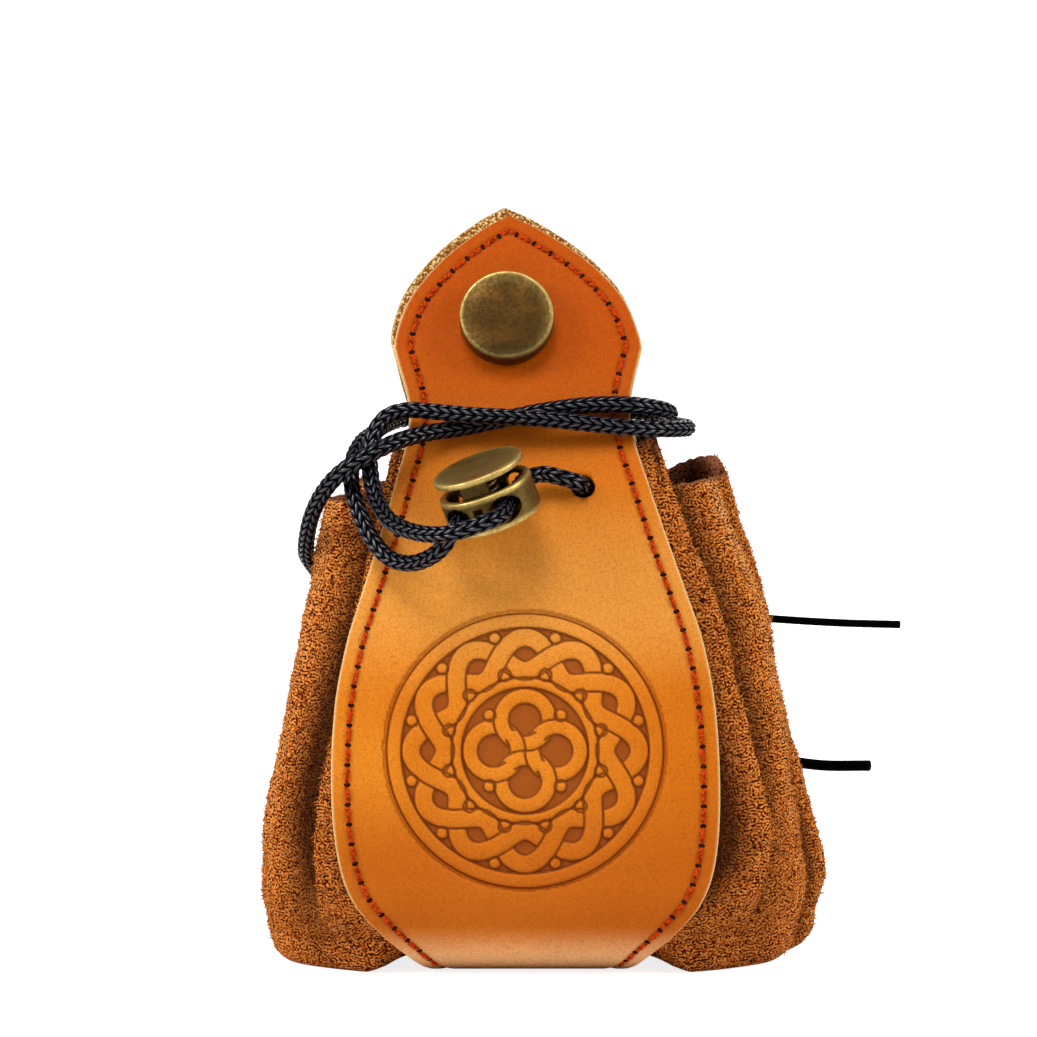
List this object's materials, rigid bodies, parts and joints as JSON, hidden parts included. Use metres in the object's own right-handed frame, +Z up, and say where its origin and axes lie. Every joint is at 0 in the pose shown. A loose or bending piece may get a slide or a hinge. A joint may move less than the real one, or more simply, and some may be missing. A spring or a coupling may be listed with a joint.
{
  "type": "drawstring pouch",
  "caption": "Gathered suede drawstring pouch held in a folded leather strap with snapped pointed tabs, a stitched edge, and a waxed cord drawn through a sprung cord lock.",
  "frame": {"origin": "bottom centre of the bag without its cords, on the surface it stands on", "axes": "+Z up towards the tabs, -Y out of the front of the bag, +X to the right as seen from the front"},
  "size_m": [0.1031, 0.0706, 0.1195],
  "materials": {
    "strap_leather": "smooth satin vegetable-tanned leather",
    "suede": "napped suede",
    "antique_brass": "antiqued, worn bright at the edges",
    "waxed_cord": "waxed braid"
  },
  "bodies": {
    "bag": {"leather_strap": "strap_leather", "suede_pouch": "suede", "snap_button": "antique_brass", "cord_lock_body": "antique_brass", "drawstring_mouth": "waxed_cord", "drawstring_right": "waxed_cord", "drawstring_left": "waxed_cord"},
    "lock_button": {"cord_lock_button": "antique_brass"}
  },
  "joints": [
    {"name": "lock_button_press", "type": "slide", "parent": "bag", "child": "lock_button", "axis": [-0.3377, -0.1753, 0.9248], "range_m": [-0.0019, 0], "stiffness_N_per_m": 250, "springref_m": 0.004}
  ]
}
